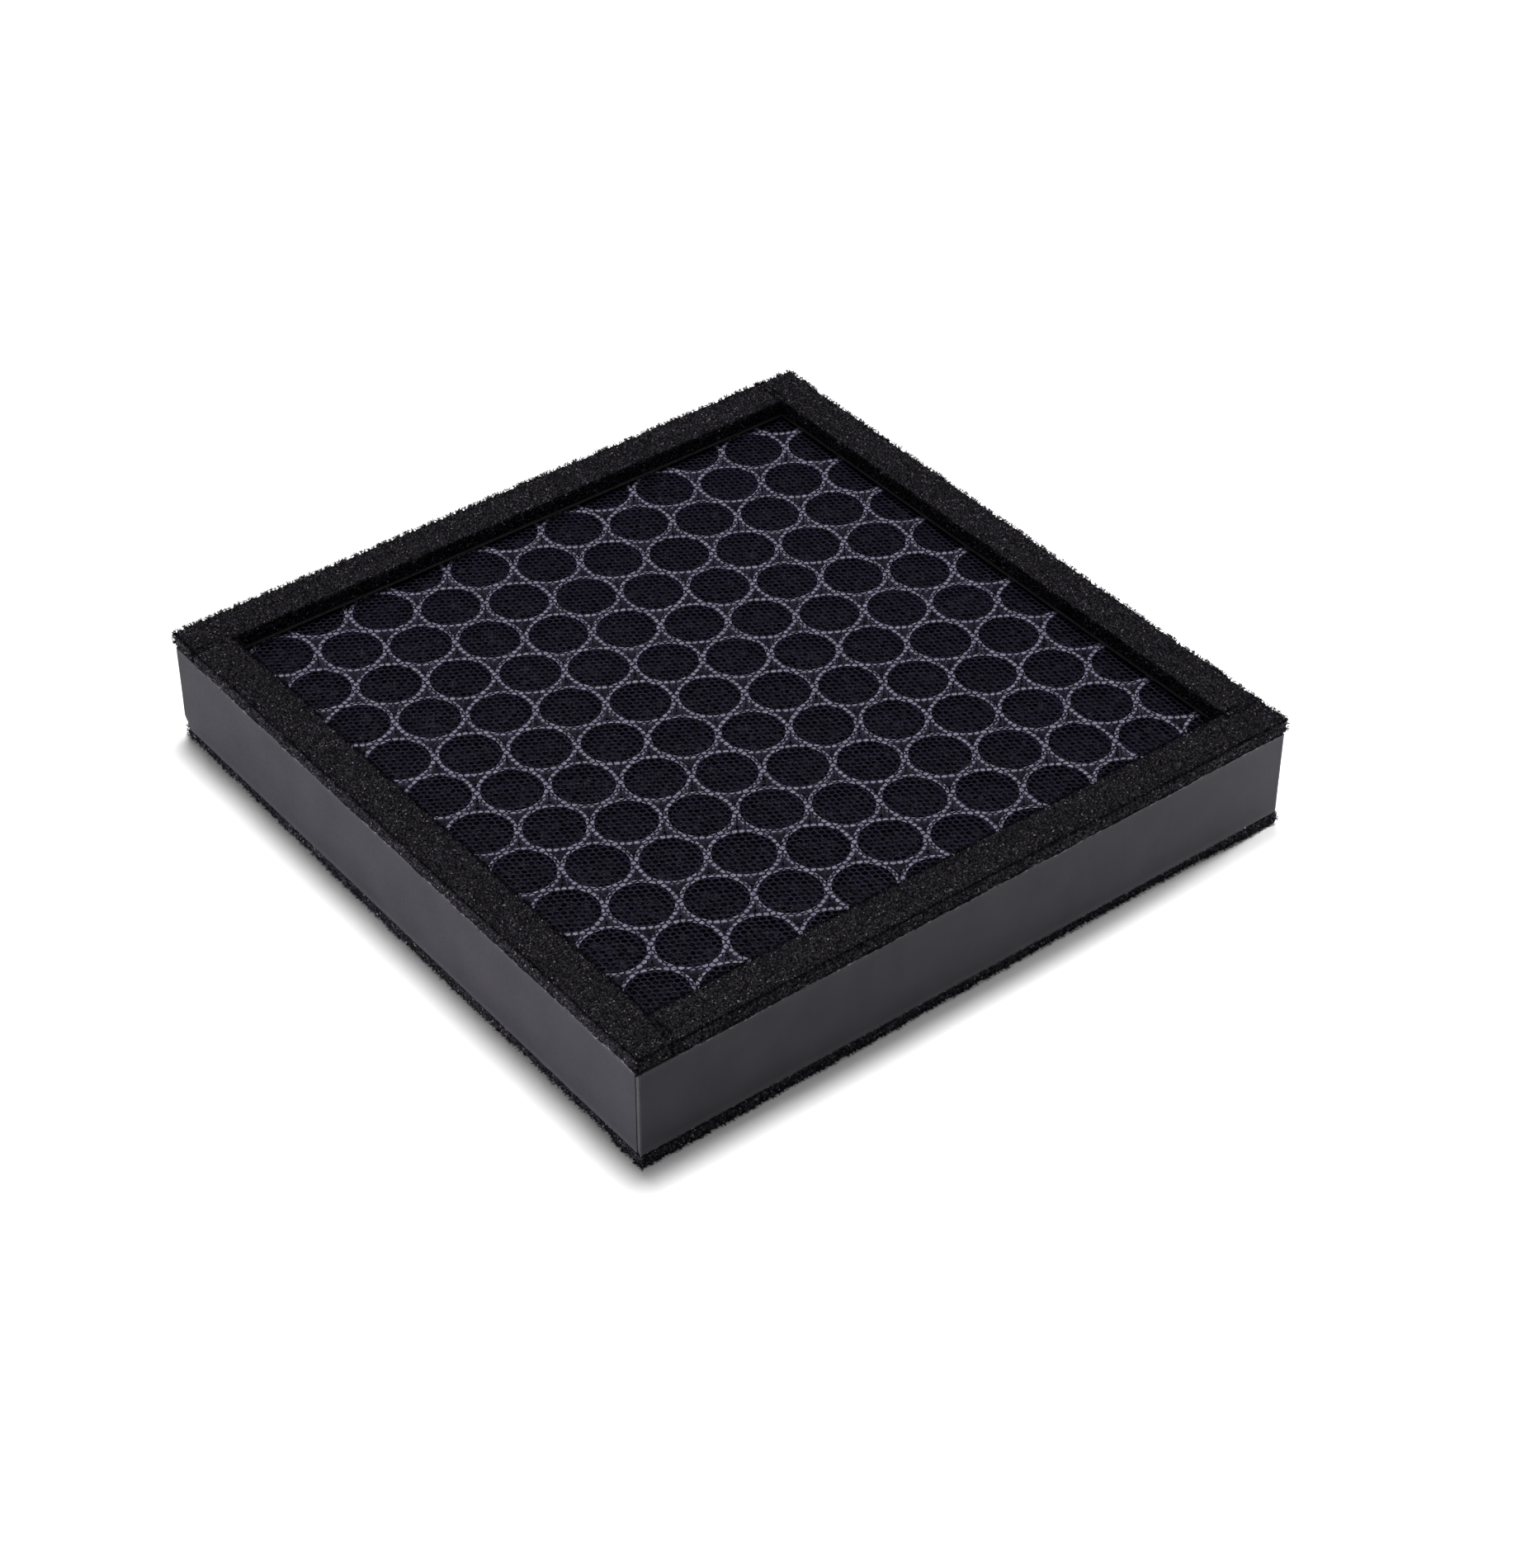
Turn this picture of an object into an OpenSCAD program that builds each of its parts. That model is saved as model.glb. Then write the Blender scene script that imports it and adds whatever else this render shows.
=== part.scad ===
// Gasketed panel filter: a square frame, folded from one strip of card, that
// holds a block of round tubes full of activated carbon between two meshes,
// with a foam strip gasket stuck round both faces. Millimetres, +Z up, origin at
// the middle of the footprint on the surface that the lower gasket rests on.

/* [Frame] */
// Outside length of each side of the card frame
side = 200; // [160:1:260]
// Height of the card frame, without the gaskets
frame_h = 25.3; // [18:0.1:40]
// Width of the folded flanges, measured from the outside face
flange_w = 11; // [9:0.5:14]
// Thickness of the card
card_t = 1; // [0.8:0.1:1.4]
// Outside radius of the folds
fold_r = 0.7; // [0.4:0.1:0.8]
// Width of the slit between two flanges at a corner
slit_w = 0.2; // [0.1:0.1:0.6]
// Gap where the two ends of the card meet, at the front left corner
joint_gap = 0.3; // [0.1:0.1:0.6]

/* [Tube block] */
// Distance from tube to tube along a column
tube_pitch = 17.87; // [16:0.01:19]
// Distance from column to column
column_pitch = 15.22; // [14:0.01:16]
// Inside diameter of a tube
cell_d = 15.7; // [12:0.1:15.8]
// Outside diameter of a tube, a little over the spacing so that tubes fuse
tube_d = 17.9; // [17.9:0.1:18.2]
// Shift of the tube pattern in the block, across the columns
pattern_x = -3.1; // [-7:0.1:7]
// Shift of the tube pattern in the block, along the columns
pattern_y = 0.9; // [-8:0.1:8]
// Width of the glue line between the block and the frame
glue_w = 0.5; // [0.3:0.1:1]
// Empty depth above the carbon in each tube
headroom = 2.8; // [1:0.1:6]

/* [Meshes] */
// Thickness of each mesh
mesh_t = 0.4; // [0.2:0.1:0.8]
// Distance that each mesh stops short of the inside of the frame
mesh_gap = 0.5; // [0.2:0.1:2]

/* [Gasket] */
// Width of every foam strip
strip_w = 11; // [8:0.5:14]
// Thickness of the foam on the upper face
upper_foam_t = 4; // [2:0.1:8]
// Thickness of the foam on the lower face
lower_foam_t = 3.8; // [2:0.1:8]
// Thickness of the adhesive tape under the foam
tape_t = 0.2; // [0.1:0.05:0.4]
// Distance from an upper strip's free end to the outside of the frame
end_inset = 0.8; // [0:0.1:2]
// The same distance for the lower strips
lower_end_inset = 0.3; // [0:0.1:2]
// Distance from a strip's long edge to the outside of the frame
edge_inset = 0.1; // [0:0.1:1]
// The same distance for the lower strip on the left, which is stuck on further in
crooked_inset = 0.9; // [0:0.1:3]

/* [Hidden] */

$fn = 64;

// Heights, from the surface that the filter rests on
frame_z = lower_foam_t + tape_t;
frame_top = frame_z + frame_h;
lower_mesh_z = frame_z + card_t;
core_z = lower_mesh_z + mesh_t;
core_top = frame_top - card_t - mesh_t;
carbon_top = core_top - headroom;

// Plan sizes
inside = side - 2 * card_t;
core_side = inside - 2 * glue_w;
mesh_side = inside - 2 * mesh_gap;

// Sides of the frame, as quarter turns from the front
FRONT = 0;
RIGHT = 1;
REAR = 2;
LEFT = 3;

// Tubes whose middle lies at most this far outside the block are cut through
// and keep their inner part. Tubes further out would only leave a sliver.
cut_reach = 5.5;
columns = ceil((core_side / 2 + cut_reach) / column_pitch) + 1;
rows = ceil((core_side / 2 + cut_reach) / tube_pitch) + 1;
cells = [
  for (i = [-columns:columns], j = [-rows:rows])
    let (x = pattern_x + i * column_pitch, y = pattern_y + (j + (i % 2 == 0 ? 0 : 0.5)) * tube_pitch)
      if (max(abs(x), abs(y)) < core_side / 2 + cut_reach) [x, y]
];

card_colour = [0.30, 0.30, 0.32];
tube_colour = [0.42, 0.42, 0.50];
carbon_colour = [0.07, 0.07, 0.08];
glue_colour = [0.78, 0.76, 0.70];
mesh_colour = [0.35, 0.35, 0.38];
tape_colour = [0.16, 0.16, 0.17];
foam_colour = [0.12, 0.12, 0.13];

// ---- Card frame: one strip, folded into a channel and round three corners ----

// Section of the channel: x runs inwards from the outside face, y is up
module channel_section() {
  difference() {
    union() {
      translate([fold_r, 0]) square([flange_w - fold_r, frame_h]);
      translate([0, fold_r]) square([fold_r, frame_h - 2 * fold_r]);
      translate([fold_r, fold_r]) circle(r = fold_r);
      translate([fold_r, frame_h - fold_r]) circle(r = fold_r);
    }
    translate([card_t, card_t]) square([flange_w, frame_h - 2 * card_t]);
  }
}

// Plan of one side between its two mitres
module mitre_plan() {
  polygon([
    [-side / 2, -side / 2],
    [side / 2, -side / 2],
    [side / 2 - flange_w, flange_w - side / 2],
    [flange_w - side / 2, flange_w - side / 2]
  ]);
}

module channel(turn) {
  rotate([0, 0, 90 * turn])
    intersection() {
      translate([0, -side / 2, 0])
        rotate([90, 0, 90])
          linear_extrude(side, center = true)
            channel_section();
      linear_extrude(frame_h)
        mitre_plan();
    }
}

// Cuts the flanges apart along the mitre, from just inside the wall inwards
module flange_slit(turn) {
  rotate([0, 0, 90 * turn])
    translate([-inside / 2, -inside / 2, -1])
      rotate([0, 0, 45])
        translate([slit_w / 2, -slit_w / 2, 0])
          cube([2 * flange_w, slit_w, frame_h + 2]);
}

// The end of the left wall stops short of the back of the front wall
module end_joint() {
  translate([-side / 2 - 1, -inside / 2, -1])
    cube([card_t + 1 + slit_w, joint_gap, frame_h + 2]);
}

module card_frame() {
  color(card_colour)
    translate([0, 0, frame_z])
      difference() {
        union()
          for (turn = [FRONT, RIGHT, REAR, LEFT])
            channel(turn);
        for (turn = [FRONT, RIGHT, REAR, LEFT])
          flange_slit(turn);
        end_joint();
      }
}

// ---- Tube block, its carbon, and the glue round it ----

module at_cells() {
  for (cell = cells)
    translate(cell)
      children();
}

module tube_core() {
  color(tube_colour)
    translate([0, 0, core_z])
      linear_extrude(core_top - core_z)
        intersection() {
          square(core_side, center = true);
          difference() {
            at_cells() circle(d = tube_d);
            at_cells() circle(d = cell_d);
          }
        }
}

// One loose fill per tube, resting on the lower mesh
module carbon_charge() {
  color(carbon_colour)
    translate([0, 0, core_z])
      linear_extrude(carbon_top - core_z)
        intersection() {
          square(core_side, center = true);
          at_cells() circle(d = cell_d);
        }
}

// A bead of hot-melt glue all round, as tall as the tube block
module edge_glue() {
  color(glue_colour)
    translate([0, 0, core_z])
      linear_extrude(core_top - core_z)
        difference() {
          square(inside, center = true);
          square(core_side, center = true);
        }
}

// ---- Meshes, held between the flanges and the tube block ----

module mesh_sheet(z) {
  color(mesh_colour)
    translate([0, 0, z])
      linear_extrude(mesh_t)
        square(mesh_side, center = true);
}

module upper_mesh() { mesh_sheet(core_top); }
module lower_mesh() { mesh_sheet(lower_mesh_z); }

// ---- Gaskets: four strips a face, each laid against the next one's side ----

// Plan of a strip on the front side. One end is free, at the corner that the
// strip covers, and the other butts against the neighbouring strip.
module strip_plan(inset, end) {
  translate([-side / 2 + strip_w + edge_inset, -side / 2 + inset])
    square([side - strip_w - edge_inset - end, strip_w]);
}

module upper_strip(turn, z, t) {
  rotate([0, 0, 90 * turn])
    translate([0, 0, z])
      linear_extrude(t)
        strip_plan(edge_inset, end_inset);
}

// The filter is turned over before the lower strips are laid, so their round
// runs the other way
module lower_strip(turn, z, t, inset = edge_inset) {
  rotate([0, 0, 90 * turn])
    mirror([1, 0, 0])
      translate([0, 0, z])
        linear_extrude(t)
          strip_plan(inset, lower_end_inset);
}

module upper_tape(turn) {
  color(tape_colour) upper_strip(turn, frame_top, tape_t);
}

module upper_foam(turn) {
  color(foam_colour) upper_strip(turn, frame_top + tape_t, upper_foam_t);
}

module lower_tape(turn, inset = edge_inset) {
  color(tape_colour) lower_strip(turn, lower_foam_t, tape_t, inset);
}

module lower_foam(turn, inset = edge_inset) {
  color(foam_colour) lower_strip(turn, 0, lower_foam_t, inset);
}

module upper_tape_front() { upper_tape(FRONT); }
module upper_tape_right() { upper_tape(RIGHT); }
module upper_tape_rear() { upper_tape(REAR); }
module upper_tape_left() { upper_tape(LEFT); }

module upper_foam_front() { upper_foam(FRONT); }
module upper_foam_right() { upper_foam(RIGHT); }
module upper_foam_rear() { upper_foam(REAR); }
module upper_foam_left() { upper_foam(LEFT); }

module lower_tape_front() { lower_tape(FRONT); }
module lower_tape_right() { lower_tape(RIGHT); }
module lower_tape_rear() { lower_tape(REAR); }
module lower_tape_left() { lower_tape(LEFT, crooked_inset); }

module lower_foam_front() { lower_foam(FRONT); }
module lower_foam_right() { lower_foam(RIGHT); }
module lower_foam_rear() { lower_foam(REAR); }
module lower_foam_left() { lower_foam(LEFT, crooked_inset); }

card_frame();
tube_core();
carbon_charge();
edge_glue();
upper_mesh();
lower_mesh();
upper_tape_front();
upper_tape_right();
upper_tape_rear();
upper_tape_left();
upper_foam_front();
upper_foam_right();
upper_foam_rear();
upper_foam_left();
lower_tape_front();
lower_tape_right();
lower_tape_rear();
lower_tape_left();
lower_foam_front();
lower_foam_right();
lower_foam_rear();
lower_foam_left();
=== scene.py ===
import bmesh
import bpy
import math

import numpy as np
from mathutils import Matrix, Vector


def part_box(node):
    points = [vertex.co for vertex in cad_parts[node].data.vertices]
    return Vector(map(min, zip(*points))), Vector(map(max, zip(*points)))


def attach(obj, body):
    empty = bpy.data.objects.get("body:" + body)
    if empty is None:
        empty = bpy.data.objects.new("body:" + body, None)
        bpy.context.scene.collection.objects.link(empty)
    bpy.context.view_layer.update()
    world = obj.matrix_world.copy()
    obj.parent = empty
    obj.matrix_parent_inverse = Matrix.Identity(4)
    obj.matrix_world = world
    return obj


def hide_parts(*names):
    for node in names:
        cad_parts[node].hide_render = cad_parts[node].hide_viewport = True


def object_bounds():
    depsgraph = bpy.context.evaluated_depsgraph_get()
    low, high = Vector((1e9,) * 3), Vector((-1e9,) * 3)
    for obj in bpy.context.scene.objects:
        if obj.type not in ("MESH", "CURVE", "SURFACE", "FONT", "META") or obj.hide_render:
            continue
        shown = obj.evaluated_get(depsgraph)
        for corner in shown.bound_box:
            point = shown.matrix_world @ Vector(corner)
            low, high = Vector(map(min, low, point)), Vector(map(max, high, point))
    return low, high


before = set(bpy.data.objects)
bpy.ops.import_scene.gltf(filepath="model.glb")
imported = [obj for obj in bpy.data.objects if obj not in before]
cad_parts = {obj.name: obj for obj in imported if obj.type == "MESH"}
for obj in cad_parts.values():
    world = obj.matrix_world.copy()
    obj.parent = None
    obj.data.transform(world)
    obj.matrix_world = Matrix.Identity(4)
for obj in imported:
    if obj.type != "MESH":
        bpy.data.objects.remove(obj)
cad_low, cad_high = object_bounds()

MM = 0.001
SEED = 853
TINY = 1e-7

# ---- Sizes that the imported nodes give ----

card_low, card_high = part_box("card_frame")
core_low, core_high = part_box("tube_core")
carbon_low, carbon_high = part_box("carbon_charge")
upper_net_low, upper_net_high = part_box("upper_mesh")
lower_net_low, lower_net_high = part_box("lower_mesh")

HALF_SIDE = card_high.x
CARD_H = card_high.z - card_low.z

# ---- Sizes repeated from the part's source ----

CARD_T = 1.0 * MM
FLANGE_W = 11.0 * MM
JOINT_GAP = 0.3 * MM
TUBE_PITCH = 17.87 * MM
COLUMN_PITCH = 15.22 * MM
PATTERN_X = -3.1 * MM
PATTERN_Y = 0.9 * MM
CELL_R = 7.85 * MM
CUT_REACH = 5.5 * MM

# ---- Sizes chosen here for the looks, which the part's source lacks or has coarser ----

# Radii of the card's folds, outside at the top, outside at the bottom, and inside
UPPER_FOLD_R = 0.4 * MM
LOWER_FOLD_R = 0.2 * MM
INNER_FOLD_R = 0.25 * MM
# Rounding along the cut edge of a flange
LIP = 0.12 * MM
# Outside radius in plan of the three bent corners, and half the slit at each mitre
BEND_R = 1.1 * MM
HALF_SLIT = 0.12 * MM
# Outside radius of a tube, so that neighbours in a column just touch
TUBE_R = 8.93 * MM
# Width of one foam cell
PORE = 0.85 * MM

SIDES = ["front", "right", "rear", "left"]


# ---- Small helpers ----

def unit(vectors):
    """The rows of an array of vectors, each made one long."""
    length = np.linalg.norm(vectors, axis=-1, keepdims=True)
    return vectors / np.maximum(length, 1e-12)


def blend01(low, high, values):
    """0 below low, 1 above high, and a smooth ramp between."""
    t = np.clip((values - low) / (high - low), 0, 1)
    return t * t * (3 - 2 * t)


def lattice_random(cells, salt):
    """A repeatable random number from 0 to 1 for each row of whole numbers."""
    mixed = (cells.astype(np.int64) * np.array([73856093, 19349663, 83492791])).sum(axis=-1)
    mixed = (mixed + salt * 2654435761) & 0xFFFFFFFF
    mixed = ((mixed ^ (mixed >> 15)) * 2246822519) & 0xFFFFFFFF
    mixed = ((mixed ^ (mixed >> 13)) * 3266489917) & 0xFFFFFFFF
    return ((mixed ^ (mixed >> 16)) & 0xFFFFFFFF) / 0xFFFFFFFF


def soft_noise(points, size, salt):
    """Smooth noise from -1 to 1 at each point, with features of the given size."""
    scaled = points / size
    base = np.floor(scaled).astype(np.int64)
    part = scaled - base
    part = part * part * (3 - 2 * part)
    total = np.zeros(len(points))
    for corner in np.ndindex(2, 2, 2):
        corner = np.array(corner)
        weight = np.prod(np.where(corner, part, 1 - part), axis=1)
        total += weight * lattice_random(base + corner, salt)
    return 2 * total - 1


def pore_walls(points, size, salt):
    """0 in the middle of a foam cell and 1 on the ribs between cells."""
    scaled = points / size
    base = np.floor(scaled).astype(np.int64)
    nearest = np.full(len(points), 9.0)
    second = np.full(len(points), 9.0)
    for step in np.ndindex(3, 3, 3):
        cell = base + np.array(step) - 1
        seed_point = cell + np.stack(
            [lattice_random(cell, salt + axis) for axis in range(3)], axis=1
        )
        far = np.linalg.norm(scaled - seed_point, axis=1)
        second = np.minimum(second, np.maximum(far, nearest))
        nearest = np.minimum(nearest, far)
    return 1 - blend01(0.05, 0.42, second - nearest)


def new_piece(name, points, faces, material, smooth=True):
    """A mesh piece on the body, from its points and from faces with equal numbers of corners."""
    mesh = bpy.data.meshes.new(name)
    mesh.vertices.add(len(points))
    mesh.vertices.foreach_set("co", np.asarray(points, dtype=np.float32).ravel())
    mesh.loops.add(faces.size)
    mesh.loops.foreach_set("vertex_index", faces.astype(np.int32).ravel())
    mesh.polygons.add(len(faces))
    starts = np.arange(0, faces.size, faces.shape[1], dtype=np.int32)
    mesh.polygons.foreach_set("loop_start", starts)
    mesh.update(calc_edges=True)
    mesh.polygons.foreach_set("use_smooth", np.full(len(faces), smooth))
    mesh.materials.append(material)
    piece = bpy.data.objects.new(name, mesh)
    bpy.context.scene.collection.objects.link(piece)
    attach(piece, "root")
    return piece


def add_shade(piece, values):
    """Keeps one number per point, which the piece's material reads as "shade"."""
    layer = piece.data.attributes.new("shade", "FLOAT", "POINT")
    layer.data.foreach_set("value", np.asarray(values, dtype=np.float32))


def joined(parts):
    """Several (points, faces) pairs as one."""
    all_points, all_faces, start = [], [], 0
    for points, faces in parts:
        all_points.append(points)
        all_faces.append(faces + start)
        start += len(points)
    return np.concatenate(all_points), np.concatenate(all_faces)


def turned(points, quarter_turns):
    """Points turned about Z by quarter turns, as the part's source turns its sides."""
    out = np.array(points, dtype=float)
    for _ in range(quarter_turns % 4):
        out[:, 0], out[:, 1] = -out[:, 1].copy(), out[:, 0].copy()
    return out


# ---- Materials ----

class Nodes:
    """A material's node tree, with short ways to add to it."""

    def __init__(self, name):
        self.material = bpy.data.materials.new(name)
        self.material.use_nodes = True
        self.tree = self.material.node_tree
        self.shader = self.tree.nodes["Principled BSDF"]
        self.place = self.add("ShaderNodeTexCoord").outputs["Object"]

    def add(self, kind, **settings):
        node = self.tree.nodes.new(kind)
        for key, value in settings.items():
            setattr(node, key, value)
        return node

    def link(self, source, target):
        self.tree.links.new(source, target)

    def noise(self, size, detail=3.0, roughness=0.5, stretch=None):
        """Noise with features of about the given size in metres, from 0 to 1."""
        node = self.add("ShaderNodeTexNoise")
        node.inputs["Scale"].default_value = 1 / size
        node.inputs["Detail"].default_value = detail
        node.inputs["Roughness"].default_value = roughness
        place = self.place
        if stretch:
            mapping = self.add("ShaderNodeMapping")
            mapping.inputs["Scale"].default_value = stretch
            self.link(place, mapping.inputs["Vector"])
            place = mapping.outputs["Vector"]
        self.link(place, node.inputs["Vector"])
        return node.outputs["Fac"]

    def cells(self, size, feature="F1"):
        node = self.add("ShaderNodeTexVoronoi", feature=feature)
        node.inputs["Scale"].default_value = 1 / size
        self.link(self.place, node.inputs["Vector"])
        return node.outputs["Distance"]

    def shade(self):
        return self.add("ShaderNodeAttribute", attribute_name="shade").outputs["Fac"]

    def ramp(self, value, *stops):
        """Colours or greys along a value; each stop is (position, grey or colour)."""
        node = self.add("ShaderNodeValToRGB")
        elements = node.color_ramp.elements
        while len(elements) < len(stops):
            elements.new(0.5)
        for element, (position, colour) in zip(elements, stops):
            element.position = position
            if isinstance(colour, (int, float)):
                colour = (colour, colour, colour)
            element.color = (*colour, 1)
        self.link(value, node.inputs["Fac"])
        return node.outputs["Color"]

    def mix(self, share, first, second, mode="MIX"):
        node = self.add("ShaderNodeMix", data_type="RGBA", blend_type=mode)
        if isinstance(share, (int, float)):
            node.inputs["Factor"].default_value = share
        else:
            self.link(share, node.inputs["Factor"])
        self.link(first, node.inputs["A"])
        self.link(second, node.inputs["B"])
        return node.outputs["Result"]

    def bump(self, height, distance, strength=1.0, after=None):
        node = self.add("ShaderNodeBump")
        node.inputs["Distance"].default_value = distance
        node.inputs["Strength"].default_value = strength
        self.link(height, node.inputs["Height"])
        if after:
            self.link(after, node.inputs["Normal"])
        return node.outputs["Normal"]

    def finish(self, colour, roughness, normal=None, specular=0.5):
        self.link(colour, self.shader.inputs["Base Color"])
        self.link(roughness, self.shader.inputs["Roughness"])
        if normal:
            self.link(normal, self.shader.inputs["Normal"])
        self.shader.inputs["Specular IOR Level"].default_value = specular
        return self.material


def card_material():
    """Smooth dark grey card: mottled pulp, fine fibres, and a paler colour on its folds and flange
    lips that is partly rubbing wear and partly painted highlight.
    """
    n = Nodes("card")
    dull, pale = (0.0222, 0.0210, 0.0284), (0.0300, 0.0281, 0.0366)
    cloud = n.ramp(n.noise(11 * MM, 3), (0.3, dull), (0.7, pale))
    pulp = n.ramp(n.noise(0.6 * MM, 3, 0.6), (0.3, 0.70), (0.7, 1.04))
    body = n.mix(1.0, cloud, pulp, "MULTIPLY")
    flecks = n.ramp(n.cells(1.4 * MM), (0.03, 0.8), (0.08, 0.0))
    speckled = n.mix(flecks, body, n.ramp(n.noise(3 * MM), (0.4, 0.04), (0.7, 0.07)))
    # The paler colour below goes where the shade attribute is set: rubbing wear plus painted
    # highlight on the folds, painted highlight on the flange lips, and the paler core at the cut
    # end.
    worn_and_lit = n.ramp(n.noise(0.7 * MM, 4, 0.7), (0.35, 0.05), (0.7, 0.14))
    rubbed = n.mix(n.shade(), speckled, worn_and_lit)
    roughness = n.ramp(n.noise(0.6 * MM, 3), (0.3, 0.52), (0.7, 0.68))
    grain = n.bump(n.noise(0.25 * MM, 4, 0.6), 0.03 * MM, 0.5)
    fibres = n.bump(n.noise(1.6 * MM, 3, 0.6, (1, 1, 0.35)), 0.08 * MM, 0.35, grain)
    return n.finish(rubbed, roughness, fibres, 0.15)


def tube_material():
    """Dark violet-grey plastic with pale ends, paler partly from sawing and partly as painted
    light from above; the same pale colour goes down the tops of the outer walls as painted light.
    """
    n = Nodes("tube_plastic")
    dark_wall, pale_wall = (0.0050, 0.0043, 0.0150), (0.0100, 0.0088, 0.0250)
    wall = n.ramp(n.noise(14 * MM, 3), (0.3, dark_wall), (0.7, pale_wall))
    streaks = n.ramp(n.noise(0.8 * MM, 4, 0.6, (1, 1, 0.08)), (0.3, 0.7), (0.7, 1.0))
    drawn = n.mix(1.0, wall, streaks, "MULTIPLY")
    # Pale colour of the ends: partly the saw's mark and partly painted light. It is also the
    # painted light on the tops of the outer walls.
    dim_end, pale_end = (0.075, 0.070, 0.102), (0.215, 0.205, 0.27)
    sawn_and_lit = n.ramp(n.noise(0.9 * MM, 4, 0.7), (0.36, dim_end), (0.64, pale_end))
    colour = n.mix(n.shade(), drawn, sawn_and_lit)
    roughness = n.ramp(n.noise(2 * MM, 3), (0.3, 0.35), (0.7, 0.55))
    lines = n.bump(n.noise(0.5 * MM, 3, 0.6, (1, 1, 0.05)), 0.05 * MM, 0.4)
    return n.finish(colour, roughness, lines, 0.12)


def carbon_material():
    """Crushed carbon: near black with a fine glitter where a grain's face is smooth."""
    n = Nodes("carbon")
    dark, pale = (0.0018, 0.0015, 0.0042), (0.0085, 0.0072, 0.0165)
    colour = n.ramp(n.noise(0.7 * MM, 4, 0.7), (0.3, dark), (0.7, pale))
    roughness = n.ramp(n.cells(0.6 * MM), (0.2, 0.28), (0.7, 0.75))
    pits = n.bump(n.noise(0.25 * MM, 4, 0.7), 0.12 * MM, 0.8)
    return n.finish(colour, roughness, pits, 0.1)


def glue_material():
    """Cloudy hot-melt glue."""
    n = Nodes("glue")
    colour = n.ramp(n.noise(5 * MM, 3), (0.3, (0.50, 0.46, 0.36)), (0.7, (0.62, 0.58, 0.47)))
    roughness = n.ramp(n.noise(3 * MM, 3), (0.3, 0.25), (0.7, 0.45))
    ripples = n.bump(n.noise(2 * MM, 2), 0.2 * MM, 0.5)
    return n.finish(colour, roughness, ripples, 0.5)


def net_material():
    """Black monofilament net: smooth, with brighter and duller stretches, and a painted highlight
    along each strand's crest that fades to painted shade at the holes' edges.
    """
    n = Nodes("net")
    dull, bright = (0.0052, 0.0043, 0.0125), (0.0170, 0.0142, 0.0350)
    colour = n.ramp(n.noise(3 * MM, 3), (0.3, dull), (0.7, bright))
    # Painted highlight along each strand's crest, fading to painted shade at the holes' edges; its
    # strength varies at random from strand to strand.
    ridge = n.ramp(n.shade(), (0.35, 0.35), (1.0, 1.0))
    shaded = n.mix(1.0, colour, ridge, "MULTIPLY")
    roughness = n.ramp(n.noise(1 * MM, 2), (0.3, 0.36), (0.7, 0.6))
    twist = n.bump(n.noise(0.12 * MM, 2), 0.02 * MM, 0.4)
    return n.finish(shaded, roughness, twist, 0.06)


def tape_material():
    """Thin black double-sided tape with a paler ragged adhesive edge."""
    n = Nodes("tape")
    dark, rubbed = (0.004, 0.004, 0.005), (0.020, 0.020, 0.022)
    film, smear = (0.018, 0.017, 0.027), (0.24, 0.23, 0.28)
    black = n.ramp(n.noise(1.5 * MM, 4, 0.7), (0.35, dark), (0.8, rubbed))
    adhesive = n.ramp(n.noise(1.3 * MM, 3, 0.6), (0.50, film), (0.74, smear))
    colour = n.mix(n.shade(), black, adhesive)
    roughness = n.ramp(n.noise(0.8 * MM, 3), (0.3, 0.35), (0.7, 0.60))
    creases = n.bump(n.noise(0.6 * MM, 4, 0.6), 0.06 * MM, 0.5)
    return n.finish(colour, roughness, creases, 0.15)


def foam_material():
    """Open-cell foam: thin glossy black ribs round pores, with painted shade in the pores, painted
    glints on the ribs, and ribs painted brighter on the strip's sides than on its top as painted
    light.
    """
    n = Nodes("foam")
    dull_rib, pale_rib = (0.0034, 0.0029, 0.0052), (0.0500, 0.0455, 0.0610)
    # Near-black painted shade for the pores; the ribs keep their own colour.
    deep, shallow = (0.0004, 0.0003, 0.0006), (0.0018, 0.0016, 0.0024)
    dim_painted_glint, bright_painted_glint = (0.006, 0.005, 0.008), (0.32, 0.29, 0.33)
    rib = n.ramp(n.noise(0.6 * MM, 3, 0.6), (0.40, dull_rib), (0.64, pale_rib))
    pore_shade = n.ramp(n.noise(0.4 * MM, 2), (0.3, deep), (0.7, shallow))
    fine_ribs = n.ramp(n.cells(PORE, "DISTANCE_TO_EDGE"), (0.04, 1.0), (0.20, 0.0))
    # Rib brightness from the shade attribute, which carries painted light: ribs on the strip's
    # sides are painted brighter than on its top.
    high = n.ramp(n.shade(), (0.22, 0.0), (0.80, 1.0))
    spongy = n.mix(n.mix(1.0, fine_ribs, high, "MULTIPLY"), pore_shade, rib)
    # Painted glints: small bright spots on the ribs.
    dots = n.ramp(n.cells(0.8 * MM), (0.20, 1.0), (0.28, 0.0))
    glint_spots = n.mix(1.0, dots, high, "MULTIPLY")
    painted_glint = n.ramp(n.noise(1.0 * MM, 3, 0.7), (0.45, dim_painted_glint), (0.62, bright_painted_glint))
    skin_colour = n.mix(glint_spots, spongy, painted_glint)
    loose = n.ramp(n.shade(), (0.92, 0.0), (0.98, 1.0))
    colour = n.mix(loose, skin_colour, rib)
    roughness = n.ramp(n.noise(0.3 * MM, 2), (0.35, 0.25), (0.65, 0.5))
    fine = n.bump(n.cells(PORE, "DISTANCE_TO_EDGE"), -0.25 * MM, 0.8)
    return n.finish(colour, roughness, fine, 0.04)


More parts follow.
